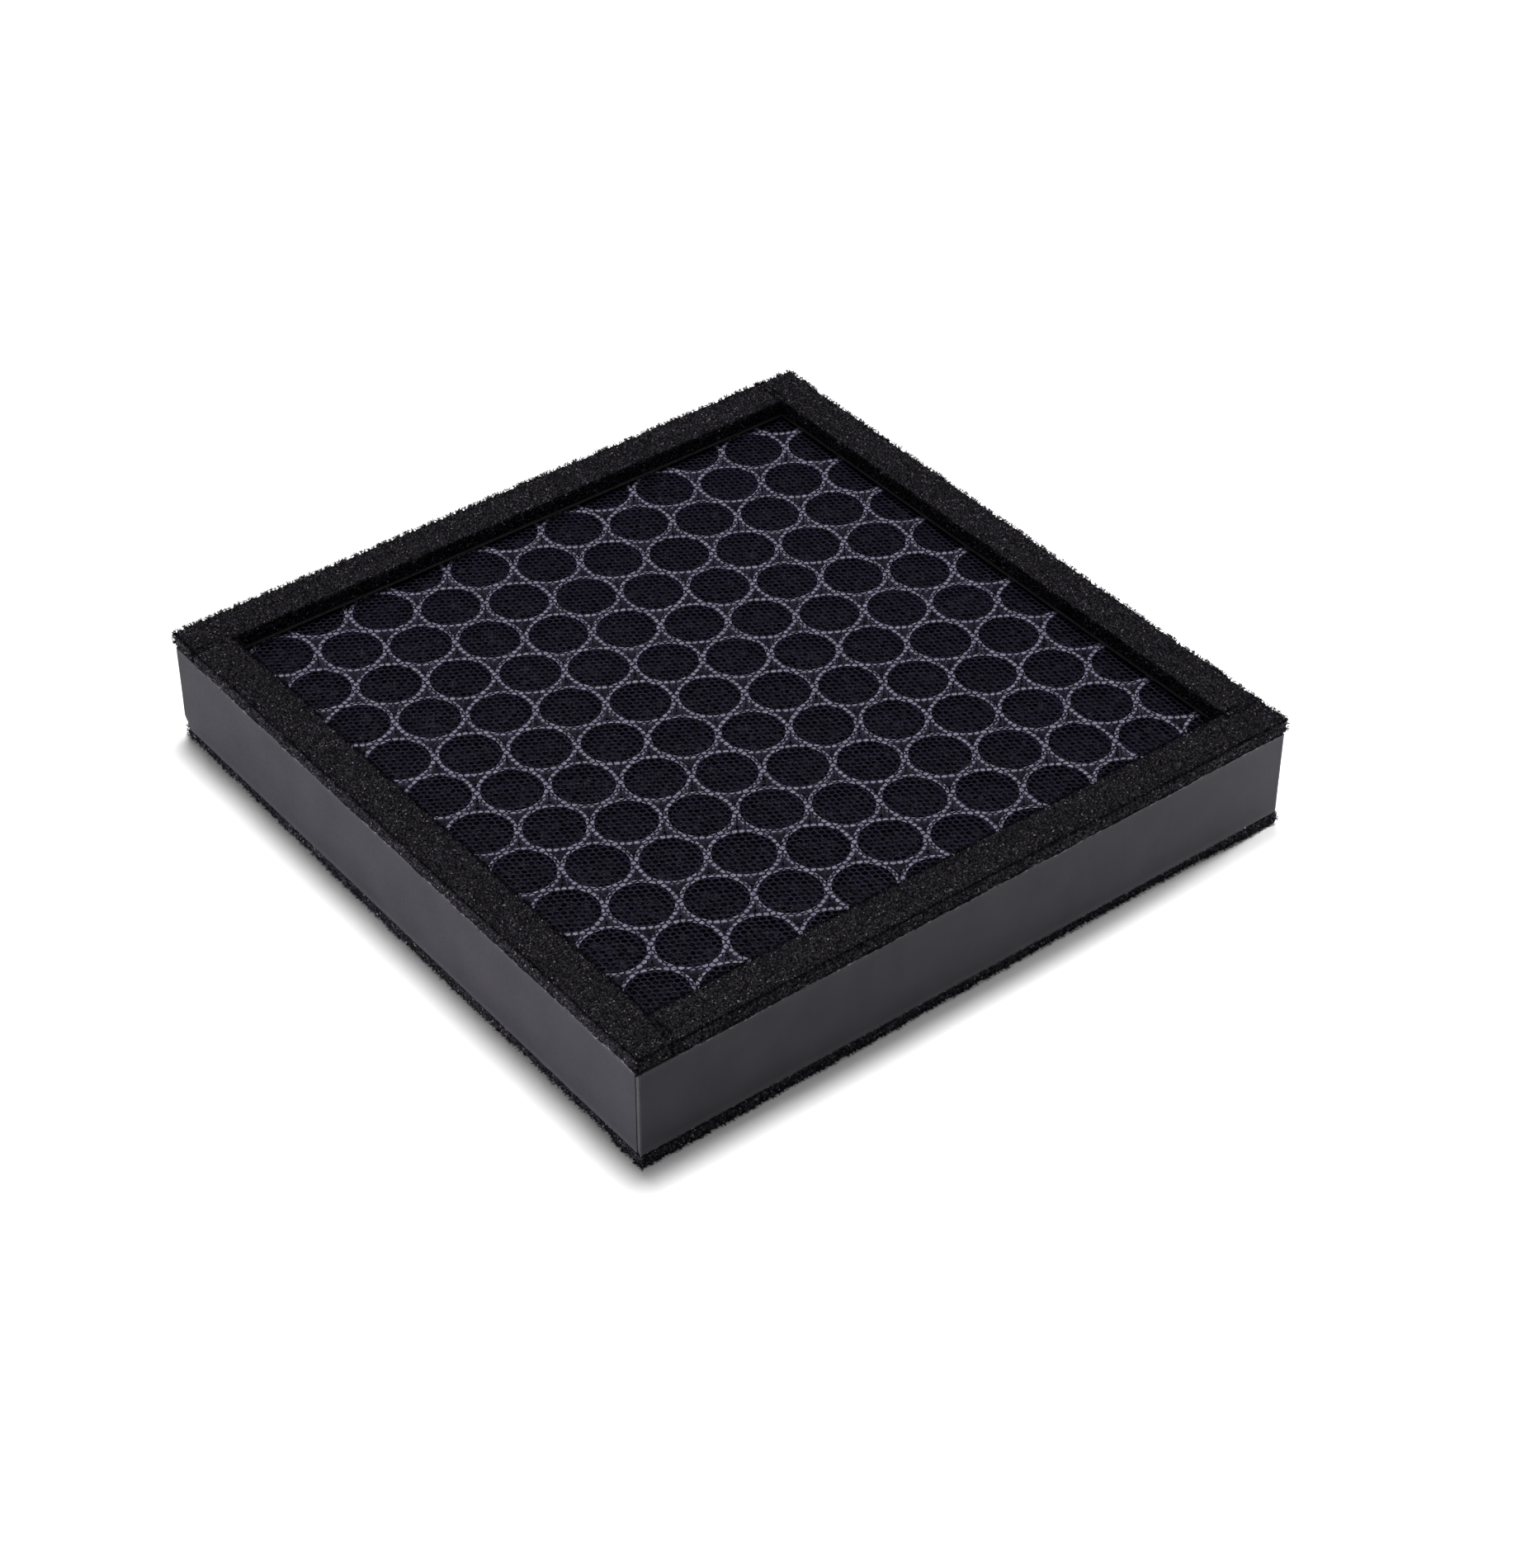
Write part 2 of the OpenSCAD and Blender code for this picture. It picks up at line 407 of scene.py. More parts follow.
def floor_material():
    """Plain white paper sweep."""
    n = Nodes("paper_floor")
    colour = n.ramp(n.noise(60 * MM, 2), (0.3, 0.955), (0.7, 0.965))
    roughness = n.ramp(n.noise(5 * MM, 2), (0.3, 0.85), (0.7, 0.95))
    return n.finish(colour, roughness, None, 0.1)


CARD = card_material()
TUBE = tube_material()
CARBON = carbon_material()
GLUE = glue_material()
NET = net_material()
TAPE = tape_material()
FOAM = foam_material()


# ---- Card frame: one strip folded into a channel and round three corners ----

def line(start, stop, count):
    """Evenly spaced points from start to stop."""
    share = np.linspace(0, 1, count)[:, None]
    return (1 - share) * np.array(start) + share * np.array(stop)


def fold(inset, radius, count):
    """A quarter turn from a flange up into the wall, inset from the outside face."""
    angles = np.radians(np.linspace(270, 180, count))
    centre = inset + radius
    return np.stack([centre + radius * np.cos(angles), centre + radius * np.sin(angles)], axis=1)


def half_skin(inset, fold_r, lip_z):
    """Half of one skin, from a flange's lip round the fold to near the middle of the wall."""
    past_wall = max(inset + fold_r, CARD_T) + 0.03 * MM
    return np.concatenate([
        [(FLANGE_W, lip_z)],
        line((FLANGE_W - LIP, inset), (past_wall, inset), 13),
        fold(inset, fold_r, 8),
        line((inset, inset + fold_r + 0.4 * MM), (inset, CARD_H / 2 - 0.6 * MM), 9),
    ])


def skin(inset, lower_r, upper_r, lip_z):
    """One skin of the folded channel, from the lower lip up the wall to the upper lip."""
    upper = half_skin(inset, upper_r, lip_z)[::-1].copy()
    upper[:, 1] = CARD_H - upper[:, 1]
    return np.concatenate([half_skin(inset, lower_r, lip_z), upper])


def channel_section():
    """The folded channel as a closed loop of (distance inwards, height) points."""
    outer = skin(0, LOWER_FOLD_R, UPPER_FOLD_R, LIP)
    inner = skin(CARD_T, INNER_FOLD_R, INNER_FOLD_R, CARD_T - LIP)
    return np.concatenate([outer, inner[::-1]])


ROUND_CORNER, CUT_ACROSS, CUT_SHORT = range(3)


def side_end(u, kind):
    """How far one side's straight part runs from the middle at distance u inwards."""
    mitred = HALF_SIDE - u - HALF_SLIT
    if kind == ROUND_CORNER:
        return np.where(u < CARD_T + TINY, HALF_SIDE - BEND_R, mitred - BEND_R)
    if kind == CUT_ACROSS:
        return np.where(u < CARD_T + TINY, HALF_SIDE, mitred)
    return np.where(u < CARD_T + TINY, HALF_SIDE - CARD_T - JOINT_GAP, mitred)


def corner_stations(u, kind, sign):
    """Stations (along, inwards) that carry one end of a side on to its corner."""
    stations = []
    for degrees in range(9, 46, 9):
        angle = math.radians(degrees)
        share = degrees / 45
        radius = np.maximum(BEND_R - u, 0)
        wall_along = HALF_SIDE - BEND_R + radius * math.sin(angle)
        wall_in = BEND_R - radius * math.cos(angle)
        straight = side_end(u, kind) + share * BEND_R
        in_wall = u < CARD_T + TINY
        along = np.where(in_wall, wall_along, straight)
        inwards = np.where(in_wall, wall_in, u)
        stations.append((sign * along, inwards))
    return stations


def channel_side(turn, left_kind, right_kind):
    """One side of the frame as a swept section with closed ends."""
    section = channel_section()
    u, z = section[:, 0], section[:, 1]
    left_end, right_end = -side_end(u, left_kind), side_end(u, right_kind)
    stations = []
    if left_kind == ROUND_CORNER:
        stations += corner_stations(u, left_kind, -1)[::-1]
    ends = 0.5 - 0.5 * np.cos(np.linspace(0, math.pi, 150))
    shares = 0.6 * np.linspace(0, 1, 150) + 0.4 * ends
    close = 0.1 * MM / HALF_SIDE
    for share in np.sort(np.concatenate([shares, [close, 1 - close]])):
        stations.append(((1 - share) * left_end + share * right_end, u))
    if right_kind == ROUND_CORNER:
        stations += corner_stations(u, right_kind, 1)
    rows = [
        np.stack([along, -HALF_SIDE + inwards, card_low.z + z], axis=1)
        for along, inwards in stations
    ]
    points = turned(np.concatenate(rows), turn)
    count = len(section)
    row = np.arange(len(stations) - 1)[:, None] * count
    here = np.arange(count)[None, :]
    after = (here + 1) % count
    sweep = np.stack([row + here, row + after, row + count + after, row + count + here], axis=-1)
    return points, sweep.reshape(-1, 4), count, len(stations)


def end_caps(count, stations):
    """Quads that close both ends of a swept channel, from its outer skin to its inner skin."""
    outer = np.arange(count // 2 - 1)
    inner = count - 1 - outer
    cap = np.stack([outer, outer + 1, inner - 1, inner], axis=1)
    last = (stations - 1) * count
    return np.concatenate([cap, last + cap[:, ::-1]])


def build_card():
    parts = []
    kinds = [
        (CUT_ACROSS, ROUND_CORNER),
        (ROUND_CORNER, ROUND_CORNER),
        (ROUND_CORNER, ROUND_CORNER),
        (ROUND_CORNER, CUT_SHORT),
    ]
    for turn, (left_kind, right_kind) in enumerate(kinds):
        points, sweep, count, stations = channel_side(turn, left_kind, right_kind)
        parts.append((points, np.concatenate([sweep, end_caps(count, stations)])))
    points, faces = joined(parts)

    # Card is never quite flat, and one lower corner has been knocked in
    height = (points[:, 2] - card_low.z) / CARD_H
    outwards = unit(np.where(
        np.abs(points[:, :2]) >= HALF_SIDE - 1.3 * MM, np.sign(points[:, :2]), 0
    ))
    bow = soft_noise(points, 45 * MM, SEED) * 0.12 * MM * np.sin(math.pi * np.clip(height, 0, 1))
    points[:, :2] -= outwards * (np.abs(bow) + 0.01 * MM)[:, None]
    knocked = np.array([-HALF_SIDE, HALF_SIDE, card_low.z])
    near = blend01(3.2 * MM, 0.0, np.linalg.norm(points - knocked, axis=1) + 1e-9)
    points += near[:, None] * np.array([0.9, -0.9, 0.7]) * MM

    piece = new_piece("card", points, faces, CARD)
    # Shade attribute for that paler colour: rubbing wear plus painted highlight along the folds,
    # painted highlight along the flanges' cut edges, and the paler core at the cut end by the near
    # corner.
    edge_z = np.minimum(points[:, 2] - card_low.z, card_high.z - points[:, 2])
    edge_xy = HALF_SIDE - np.abs(points[:, :2]).max(axis=1)
    folded = blend01(1.1 * MM, 0.2 * MM, edge_z) * blend01(0.9 * MM, 0.1 * MM, edge_xy)
    lip = blend01(0.35 * MM, 0.05 * MM, np.abs(edge_xy - FLANGE_W))
    from_corner = np.linalg.norm(points[:, :2] + [HALF_SIDE, HALF_SIDE - CARD_T / 2], axis=1)
    cut_end = blend01(0.75 * MM, 0.55 * MM, from_corner)
    add_shade(piece, np.clip(0.3 * folded + 0.6 * lip + 0.25 * cut_end, 0, 1))
    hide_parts("card_frame")
    return piece


# ---- Tube block ----

def cell_centres():
    """Where the tubes stand, by the same rule as in the part's source."""
    limit = core_high.x + CUT_REACH
    columns = math.ceil(limit / COLUMN_PITCH) + 1
    rows = math.ceil(limit / TUBE_PITCH) + 1
    found = []
    for column in range(-columns, columns + 1):
        for row in range(-rows, rows + 1):
            x = PATTERN_X + COLUMN_PITCH * column
            y = PATTERN_Y + TUBE_PITCH * (row + 0.5 * (column % 2))
            if max(abs(x), abs(y)) < limit:
                found.append((x, y))
    return found


def cut_to_block(piece, half_width):
    """Slices off what stands outside the block's four sides, and closes the cuts."""
    bm = bmesh.new()
    bm.from_mesh(piece.data)
    for normal in ((1, 0, 0), (-1, 0, 0), (0, 1, 0), (0, -1, 0)):
        plane_point = Vector(normal) * half_width
        cut = bmesh.ops.bisect_plane(
            bm,
            geom=bm.verts[:] + bm.edges[:] + bm.faces[:],
            plane_co=plane_point,
            plane_no=normal,
            clear_outer=True,
        )
        edges = [e for e in cut["geom_cut"] if isinstance(e, bmesh.types.BMEdge)]
        bmesh.ops.edgenet_fill(bm, edges=edges)
    bm.to_mesh(piece.data)
    bm.free()


def ring_loops(radii_and_heights, centre, wobble):
    """Closed loops of points round a tube's axis, one for each (radius, height)."""
    steps = len(wobble)
    angles = np.linspace(0, 2 * math.pi, steps, endpoint=False)
    rows = []
    for radius, height in radii_and_heights:
        r = radius + wobble
        rows.append(np.stack(
            [centre[0] + r * np.cos(angles), centre[1] + r * np.sin(angles),
             np.full(steps, height)], axis=1))
    return np.concatenate(rows)


def loop_quads(loops, steps, closed):
    """Quads between neighbouring loops, and from the last to the first if closed."""
    quads = []
    for k in range(loops if closed else loops - 1):
        below = k * steps
        above = ((k + 1) % loops) * steps
        here = np.arange(steps)
        after = (here + 1) % steps
        quads.append(np.stack([below + here, below + after, above + after, above + here], axis=1))
    return np.concatenate(quads)


def build_tubes():
    rng = np.random.default_rng(SEED)
    steps = 40
    chamfer = 0.07 * MM
    # Depth down the outer walls over which painted light fades into the gaps between tubes
    gap_light_depth = 6.0 * MM
    low, high = core_low.z, core_high.z
    parts = []
    angles = np.linspace(0, 2 * math.pi, steps, endpoint=False)
    for x, y in cell_centres():
        lean = rng.uniform(-0.10, 0.10, 2) * MM
        phase = rng.uniform(0, 2 * math.pi, 2)
        oval, lobed = rng.uniform(0.04, 0.15) * MM, rng.uniform(0.02, 0.06) * MM
        wobble = oval * np.cos(2 * angles + phase[0]) + lobed * np.cos(3 * angles + phase[1])
        profile = [
            (TUBE_R, low + gap_light_depth),
            (TUBE_R, low + chamfer),
            (TUBE_R - chamfer, low),
            (CELL_R + chamfer, low),
            (CELL_R, low + chamfer),
            (CELL_R, (low + high) / 2),
            (CELL_R, high - chamfer),
            (CELL_R + chamfer, high),
            (TUBE_R - chamfer, high),
            (TUBE_R, high - chamfer),
            (TUBE_R, high - gap_light_depth),
        ]
        points = ring_loops(profile, (x + lean[0], y + lean[1]), wobble)
        parts.append((points, loop_quads(len(profile), steps, True)))
    outer_loops = [radius > CELL_R + 2 * chamfer for radius, _ in profile]
    on_outside = np.tile(np.repeat(outer_loops, steps), len(parts))
    points, faces = joined(parts)
    ragged = soft_noise(points, 1.2 * MM, SEED + 1) * 0.05 * MM
    points[:, 2] -= np.where(points[:, 2] > (low + high) / 2, np.abs(ragged), -np.abs(ragged))
    piece = new_piece("tubes", points, faces, TUBE)
    from_end = np.minimum(points[:, 2] - low, high - points[:, 2])
    # Ends get the pale colour, partly from sawing and partly as painted light.
    sawn_and_lit = blend01(1.2 * chamfer, 0.3 * chamfer, from_end)
    # Painted light on the outer walls, fading with depth, to lighten the gaps between tubes.
    painted_gap_light = np.where(on_outside, 0.95 * blend01(gap_light_depth, 0, from_end), 0)
    add_shade(piece, np.maximum(sawn_and_lit, painted_gap_light))
    cut_to_block(piece, core_high.x)
    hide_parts("tube_core")
    return piece


# ---- Carbon: a column in each tube under a layer of loose granules ----

def build_carbon_bed():
    steps = 24
    top, bottom = carbon_high.z - 0.9 * MM, carbon_low.z + 0.9 * MM
    wall_r = CELL_R - 0.25 * MM
    parts = []
    for x, y in cell_centres():
        profile = [(0.2 * MM, bottom), (wall_r, bottom), (wall_r, top), (0.2 * MM, top)]
        points = ring_loops(profile, (x, y), np.zeros(steps))
        parts.append((points, loop_quads(len(profile), steps, True)))
    points, faces = joined(parts)
    lumps = soft_noise(points, 3 * MM, SEED + 2) * 0.2 * MM
    points[:, 2] += lumps
    piece = new_piece("carbon_bed", points, faces, CARBON, smooth=False)
    cut_to_block(piece, core_high.x)
    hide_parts("carbon_charge")
    return piece


CUBE_CORNERS = np.array([[x, y, z] for z in (-1, 1) for y in (-1, 1) for x in (-1, 1)]) / 2
CUBE_QUADS = np.array([
    [0, 2, 3, 1], [4, 5, 7, 6], [0, 1, 5, 4], [2, 6, 7, 3], [0, 4, 6, 2], [1, 3, 7, 5],
])


def random_turns(rng, count):
    """An array of random rotation matrices."""
    q = unit(rng.normal(size=(count, 4)))
    w, x, y, z = q.T
    rows = [
        [1 - 2 * (y * y + z * z), 2 * (x * y - z * w), 2 * (x * z + y * w)],
        [2 * (x * y + z * w), 1 - 2 * (x * x + z * z), 2 * (y * z - x * w)],
        [2 * (x * z - y * w), 2 * (y * z + x * w), 1 - 2 * (x * x + y * y)],
    ]
    return np.moveaxis(np.array(rows), 2, 0)


def build_granules(name, surface_z, salt):
    """Crushed grains that cover the carbon in every tube that shows."""
    rng = np.random.default_rng(SEED + salt)
    pitch = 1.42 * MM
    shown = HALF_SIDE - FLANGE_W + 2 * MM
    places = []
    for cx, cy in cell_centres():
        reach = int(CELL_R / pitch) + 2
        for row in range(-reach, reach + 1):
            for column in range(-reach, reach + 1):
                dx = (column + 0.5 * (row % 2)) * pitch + rng.uniform(-0.3, 0.3) * pitch
                dy = row * pitch * math.sqrt(0.75) + rng.uniform(-0.3, 0.3) * pitch
                inside = math.hypot(dx, dy) < CELL_R - 0.75 * MM
                if inside and max(abs(cx + dx), abs(cy + dy)) < shown:
                    places.append((cx + dx, cy + dy))
    places = np.array(places)
    count = len(places)
    size = rng.uniform(1.0, 1.9, (count, 1, 1)) * MM * rng.uniform(0.7, 1.0, (count, 1, 3))
    shape = CUBE_CORNERS + rng.uniform(-0.2, 0.2, (count, 8, 3))
    corners = np.einsum("nij,nkj->nki", random_turns(rng, count), shape * size)
    height = surface_z + soft_noise(
        np.column_stack([places, np.zeros(count)]), 6 * MM, salt) * 0.35 * MM
    height += rng.uniform(-0.3, 0.3, count) * MM
    centres = np.column_stack([places, height])
    points = (corners + centres[:, None, :]).reshape(-1, 3)
    faces = (CUBE_QUADS[None] + 8 * np.arange(count)[:, None, None]).reshape(-1, 4)
    return new_piece(name, points, faces, CARBON, smooth=False)


# ---- Nets: hexagonal holes between thin strands ----

# Steps from the middle of one hole to three of its six neighbours, in millimetres
NET_STEPS = [(1.50, -0.90), (1.60, 0.75), (0.10, 1.65)]


def circumcentre(a, b):
    """The point as far from the origin as from a and from b."""
    d = 2 * (a[0] * b[1] - a[1] * b[0])
    aa, bb = a @ a, b @ b
    return np.array([b[1] * aa - a[1] * bb, a[0] * bb - b[0] * aa]) / d


def build_net(name, low, high, facing, salt):
    """A stretched net; facing is 1 if its strands stand up and -1 if they hang down."""
    strand_w = 0.42 * MM
    strand_h = 0.13 * MM
    steps = [np.array(s) * MM for s in NET_STEPS]
    around = steps + [-s for s in steps]
    corners = np.array([circumcentre(around[k], around[(k + 1) % 6]) for k in range(6)])
    apothem = min(np.linalg.norm(s) for s in steps) / 2
    holes = 1 - strand_w / 2 / apothem

    reach = int((high.x - low.x) / MM)
    a, b = np.meshgrid(np.arange(-reach, reach), np.arange(-reach, reach), indexing="ij")
    a, b = a.ravel(), b.ravel()
    centres = a[:, None] * steps[0] + b[:, None] * steps[1]
    limit = high.x - np.abs(corners).max()
    keep = np.abs(centres).max(axis=1) < limit
    a, b, centres = a[keep], b[keep], centres[keep]

    ridge = (centres[:, None, :] + corners[None]).reshape(-1, 2)
    rounded = np.round(ridge / (0.05 * MM)).astype(np.int64)
    _, first, same = np.unique(rounded, axis=0, return_index=True, return_inverse=True)
    same = same.reshape(-1, 6)
    ridge = ridge[first]
    rim = (centres[:, None, :] + holes * corners[None]).reshape(-1, 2)

    base_z = (low.z if facing > 0 else high.z) + facing * 0.03 * MM
    flat = np.concatenate([ridge, rim])
    heights = np.concatenate([np.full(len(ridge), strand_h), np.zeros(len(rim))])
    points = np.column_stack([flat, base_z + facing * heights])
    drift = np.stack([soft_noise(points, 9 * MM, salt + axis) for axis in range(3)], axis=1)
    fine = np.stack([soft_noise(points, 1.1 * MM, salt + 5 + axis) for axis in range(3)], axis=1)
    inside = blend01(high.x, high.x - 4 * MM, np.abs(points[:, :2]).max(axis=1))[:, None]
    points[:, :2] += inside * (0.22 * MM * drift[:, :2] + 0.27 * MM * fine[:, :2])
    points[:, 2] += facing * 0.03 * MM * (1 + drift[:, 2])

    rim_ids = len(ridge) + np.arange(len(rim)).reshape(-1, 6)
    after = np.roll(np.arange(6), -1)
    quads = np.stack([same, same[:, after], rim_ids[:, after], rim_ids], axis=-1)
    if facing < 0:
        quads = quads[..., ::-1]
    piece = new_piece(name, points, quads.reshape(-1, 4), NET)
    # Shade attribute: painted highlight on the crest points, of random strength, and none on the
    # holes' edges.
    crest_highlight = 0.40 + 0.60 * lattice_random(rounded[first, :1] * [1, 7, 31], salt)
    add_shade(piece, np.concatenate([crest_highlight, np.zeros(len(rim))]))
    return piece


def add_nets():
    for name, node, low, high, facing in (
        ("upper_net", "upper_mesh", upper_net_low, upper_net_high, 1),
        ("lower_net", "lower_mesh", lower_net_low, lower_net_high, -1),
    ):
        piece = build_net(name, low, high, facing, SEED + 20 * facing)
        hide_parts(node)


# ---- Foam gasket strips ----

# How far a strip's end presses into the side of the strip that it butts against
BUTT_IN = 1.1 * MM
# How far the ribs stand out of the CAD solid, so that ribs and pores average to its faces
SKIN_OUT = 0.36 * MM
# How far an upper strip's fuzzy free end reaches past its CAD solid
UPPER_REACH = 0.5 * MM
# Radius in plan of a free end's outer corner
CORNER_R = 1.0 * MM
# Two lower strips are stuck on unevenly: how far each strays inwards, in millimetres, at
# stations along its side from -1 to 1
WANDER = {
    "lower_foam_left": ([-1, 0, 1], [0.2, -0.5, 0.2]),
    "lower_foam_front": ([-1, -0.4, 0.3, 0.7, 1], [-0.3, 0.2, 0.9, 0.9, -0.1]),
}


def lattice_shell(counts):
    """Points and quads of a block's whole surface, on an even grid with shared edges."""
    shape = [c + 1 for c in counts]
    index = np.indices(shape).reshape(3, -1).T
    on_shell = np.any((index == 0) | (index == np.array(counts)), axis=1)
    ids = np.full(len(index), -1)
    ids[on_shell] = np.arange(on_shell.sum())
    ids = ids.reshape(shape)
    quads = []
    for axis in range(3):
        for end in (0, counts[axis]):
            grid = np.take(ids, end, axis=axis)
            square = np.stack(
                [grid[:-1, :-1], grid[1:, :-1], grid[1:, 1:], grid[:-1, 1:]], axis=-1
            ).reshape(-1, 4)
            outward = (end > 0) == (axis != 1)
            quads.append(square if outward else square[:, ::-1])
    return index[on_shell] / np.array(counts), np.concatenate(quads)


def round_free_corner(flat, half, along, out_sign, free_end):
    """Rounds, in plan, the outer corner at a strip's free end, where handling wears it."""
    across = 1 - along
    signs = np.zeros(3)
    signs[along], signs[across] = free_end, out_sign
    start = half - CORNER_R
    past = flat * signs - start
    corner = (past[:, 0] > 0) & (past[:, 1] > 0)
    far = np.linalg.norm(past[:, :2], axis=1)
    scale = np.where(corner, past[:, :2].max(axis=1) / np.maximum(far, TINY), 1.0)
    out = flat.copy()
    for axis in (0, 1):
        moved = signs[axis] * (start[axis] + past[:, axis] * scale)
        out[:, axis] = np.where(corner, moved, flat[:, axis])
    return out


def spindles(rng, roots, directions, length, thick):
    """Thin pointed ribs of foam, three quads each, that start at the given points."""
    count = len(roots)
    side = unit(np.cross(directions, rng.normal(size=(count, 3))))
    other = np.cross(directions, side)
    middle = roots + directions * length * 0.45
    rows = [roots - directions * length * 0.15]
    for angle in np.radians([0, 120, 240]):
        rows.append(middle + thick * (side * math.cos(angle) + other * math.sin(angle)))
    rows.append(roots + directions * length)
    points = np.stack(rows, axis=1).reshape(-1, 3)
    quad = np.array([[0, 2, 4, 1], [0, 3, 4, 2], [0, 1, 4, 3]])
    faces = (quad[None] + 5 * np.arange(count)[:, None, None]).reshape(-1, 4)
    return points, faces


def build_foam(name, step, ribs, salt):
    """One strip of open-cell foam: pored skin, rough edges and loose ribs along them."""
    rng = np.random.default_rng(SEED + salt)
    low, high = (np.array(corner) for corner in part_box(name))
    along = int(high[1] - low[1] > high[0] - low[0])
    across = 1 - along
    free_end = 1 if -low[along] < high[along] else -1
    free_reach = UPPER_REACH if name.startswith("upper") else 0.0
    if free_end > 0:
        low[along] -= BUTT_IN
        high[along] += free_reach
    else:
        high[along] += BUTT_IN
        low[along] -= free_reach
    size = high - low
    counts = np.maximum(np.round(size / step).astype(int), 2)
    share, faces = lattice_shell(list(counts))

    half = size / 2
    edge_r = 0.4 * MM
    flat = (share - 0.5) * size
    flat = round_free_corner(flat, half, along, np.sign((low + high)[across]), free_end)
    core = np.clip(flat, -(half - edge_r), half - edge_r)
    normals = unit(flat - core)
    points = core + normals * edge_r + (low + high) / 2

    walls = pore_walls(points, PORE * 0.95, salt)
    from_tape = (high[2] - points[:, 2]) if "lower" in name else (points[:, 2] - low[2])
    stuck = blend01(0.4 * MM, 0.1 * MM, from_tape)
    rounded_off = blend01(0.98, 0.80, np.abs(normals).max(axis=1))
    depth = (1 - walls) * 0.55 * MM * (1 - 0.8 * stuck)
    depth += (0.5 + 0.5 * soft_noise(points, 2.5 * MM, salt + 7)) * 0.12 * MM
    depth -= SKIN_OUT * (1 - stuck)
    wave = soft_noise(points * [1, 1, 0], 14 * MM, salt + 9) * 0.18 * MM
    points -= normals * depth[:, None]
    points[:, across] += wave * (1 - 0.6 * stuck)
    if name in WANDER:
        stations, inwards = WANDER[name]
        stray = np.interp(points[:, along] / HALF_SIDE, stations, inwards) * MM
        points[:, across] -= stray * np.sign((low + high)[across])
    points[:, 2] = np.maximum(points[:, 2], cad_low.z)

    # Broken ribs stand out of the skin, two in three of them along the strip's edges and ends
    near_edge = (rounded_off > 0.2) & (stuck < 0.5) & (walls > 0.5)
    pool = np.flatnonzero(near_edge)
    loose = np.flatnonzero((walls > 0.8) & (stuck < 0.5))
    chosen = np.concatenate([
        rng.choice(pool, 2 * ribs // 3), rng.choice(loose, ribs // 3)
    ])
    directions = unit(normals[chosen] * 0.7 + rng.normal(size=(len(chosen), 3)) * 0.7)
    length = rng.uniform(0.4, 1.25, (len(chosen), 1)) * MM
    thick = rng.uniform(0.05, 0.10, (len(chosen), 1)) * MM
    fuzz = spindles(rng, points[chosen], directions, length, thick)
    fuzz[0][:, 2] = np.maximum(fuzz[0][:, 2], cad_low.z)
    all_points, all_faces = joined([(points, faces), fuzz])

    piece = new_piece(name.replace("foam", "gasket"), all_points, all_faces, FOAM)
    # Shade attribute: the ribs, painted brighter on the sides than on the top as painted light.
    painted_rib_light = 0.9 * walls * (0.75 + 0.25 * (1 - np.abs(normals[:, 2])))
    add_shade(piece, np.concatenate([painted_rib_light, np.ones(len(fuzz[0]))]))
    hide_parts(name)
    return piece


def add_gaskets():
    for number, side in enumerate(SIDES):
        build_foam(f"upper_foam_{side}", 0.31 * MM, 10000, 100 + 20 * number)
        build_foam(f"lower_foam_{side}", 0.36 * MM, 4000, 300 + 20 * number)


# ---- Tape under the foam, with adhesive squeezed out along the outer edge ----

def build_tape(name, reach, salt):
    """One length of tape; reach is how far its ragged outer edge strays, on average."""
    low, high = (np.array(corner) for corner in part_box(name))
    along = int(high[1] - low[1] > high[0] - low[0])
    across = 1 - along
    out_sign = np.sign((low + high)[across])
    size = high - low
    counts = np.maximum(np.round(size / (0.5 * MM)).astype(int), 1)
    share, faces = lattice_shell(list(counts))
    points = low + share * size
    outer = blend01(0.93, 1.0, share[:, across] if out_sign > 0 else 1 - share[:, across])
    flat = points * [1, 1, 0]
    waves = 0.7 * soft_noise(flat, 6 * MM, salt) + 0.5 * soft_noise(flat, 1.4 * MM, salt + 1)
    squeezed = outer * reach * np.clip(1 + waves, 0.1, 2)
    points[:, across] += out_sign * squeezed
    points[:, 2] -= 0.35 * squeezed * (share[:, 2] < 0.5) * (1 if name.startswith("upper") else -1)
    piece = new_piece(name.replace("tape", "adhesive"), points, faces, TAPE)
    add_shade(piece, outer)
    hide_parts(name)
    return piece


def add_tapes():
    for number, side in enumerate(SIDES):
        build_tape(f"upper_tape_{side}", 0.30 * MM, 500 + 10 * number)
        build_tape(f"lower_tape_{side}", 0.12 * MM, 600 + 10 * number)


# ---- The node that keeps its CAD shape ----

def dress(node, material):
    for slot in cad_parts[node].material_slots:
        slot.link = "OBJECT"
        slot.material = material


# ---- The stage: floor, lights and camera ----

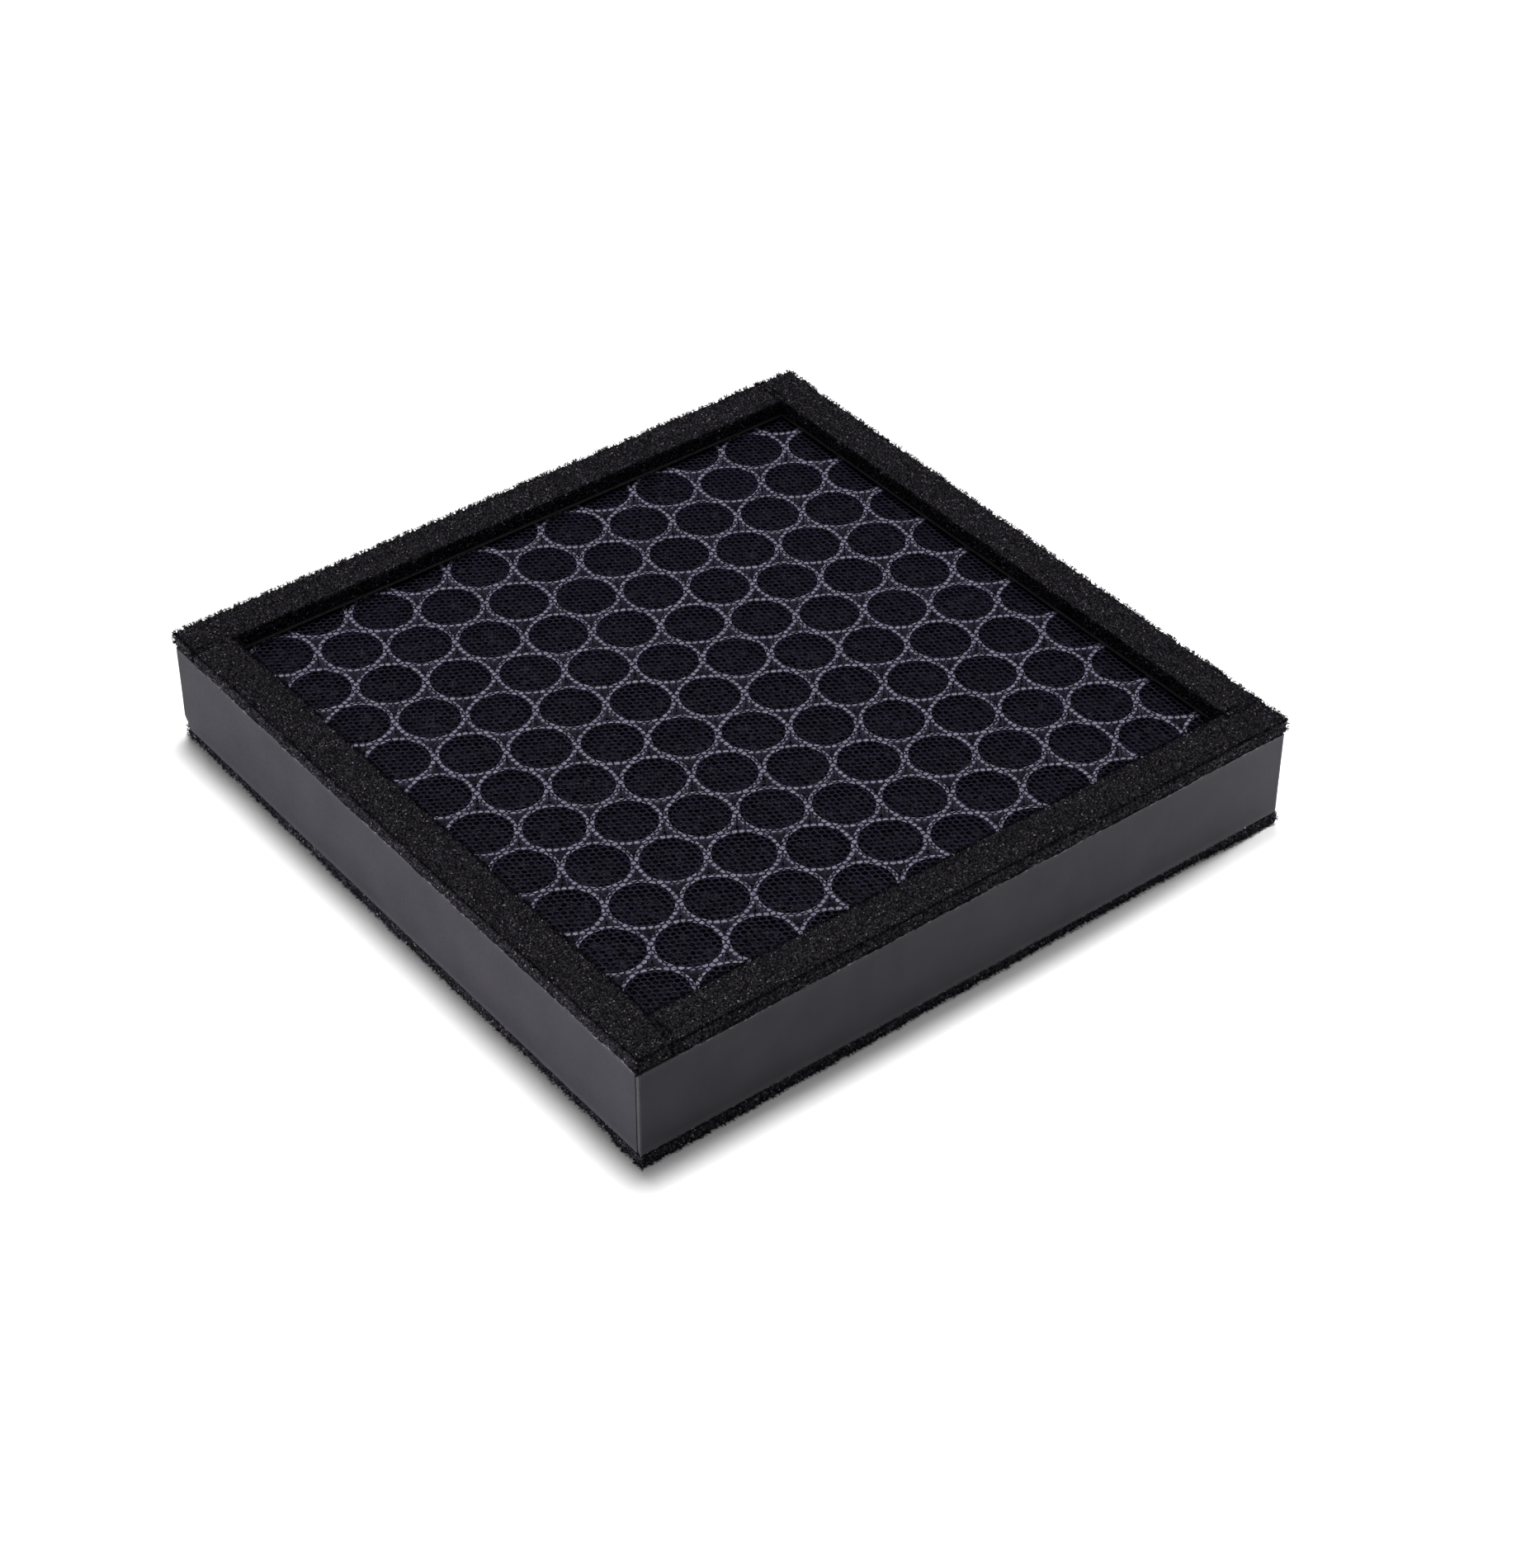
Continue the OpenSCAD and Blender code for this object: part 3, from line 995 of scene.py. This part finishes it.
def add_floor():
    bpy.ops.mesh.primitive_grid_add(x_subdivisions=8, y_subdivisions=8, size=6)
    floor = bpy.context.object
    floor.name = "floor"
    floor.location.z = cad_low.z
    floor.data.materials.append(floor_material())


def add_light(name, azimuth, elevation, distance, size, power):
    """A soft area light aimed at the object's middle."""
    data = bpy.data.lights.new(name, "AREA")
    data.shape = "DISK"
    data.size = size
    data.energy = power
    light = bpy.data.objects.new(name, data)
    a, e = math.radians(azimuth), math.radians(elevation)
    direction = Vector((math.sin(a) * math.cos(e), -math.cos(a) * math.cos(e), math.sin(e)))
    light.location = direction * distance
    light.rotation_euler = direction.to_track_quat("Z", "Y").to_euler()
    light.visible_camera = False
    bpy.context.scene.collection.objects.link(light)


def add_world(strength):
    world = bpy.data.worlds.new("studio")
    world.use_nodes = True
    background = world.node_tree.nodes["Background"]
    background.inputs["Color"].default_value = (1, 1, 1, 1)
    background.inputs["Strength"].default_value = strength
    bpy.context.scene.world = world


def add_camera():
    target = Vector((2.4, -11.6, 4.5)) * MM
    azimuth, elevation, distance = math.radians(-37.84), math.radians(39.35), 924.6 * MM
    data = bpy.data.cameras.new("camera")
    data.sensor_fit = "VERTICAL"
    data.sensor_height = 36
    data.lens = 83.3
    data.clip_start = 0.01
    camera = bpy.data.objects.new("camera", data)
    direction = Vector((
        math.sin(azimuth) * math.cos(elevation),
        -math.cos(azimuth) * math.cos(elevation),
        math.sin(elevation),
    ))
    camera.location = target + direction * distance
    camera.rotation_euler = direction.to_track_quat("Z", "Y").to_euler()
    bpy.context.scene.collection.objects.link(camera)
    bpy.context.scene.camera = camera


build_card()
build_tubes()
build_carbon_bed()
build_granules("carbon_granules_upper", carbon_high.z - 0.5 * MM, 31)
build_granules("carbon_granules_lower", carbon_low.z + 0.75 * MM, 57)
add_nets()
add_gaskets()
add_tapes()
dress("edge_glue", GLUE)

add_floor()
add_light("overhead", 153, 81.3, 1.6, 0.5, 30)
add_light("low_left", -88, 1, 0.95, 0.03, 7.0)
add_light("low_right", 75, 1, 0.36, 0.05, 12.5)
add_world(0.25)
bpy.context.scene.view_settings.view_transform = "Standard"
add_camera()
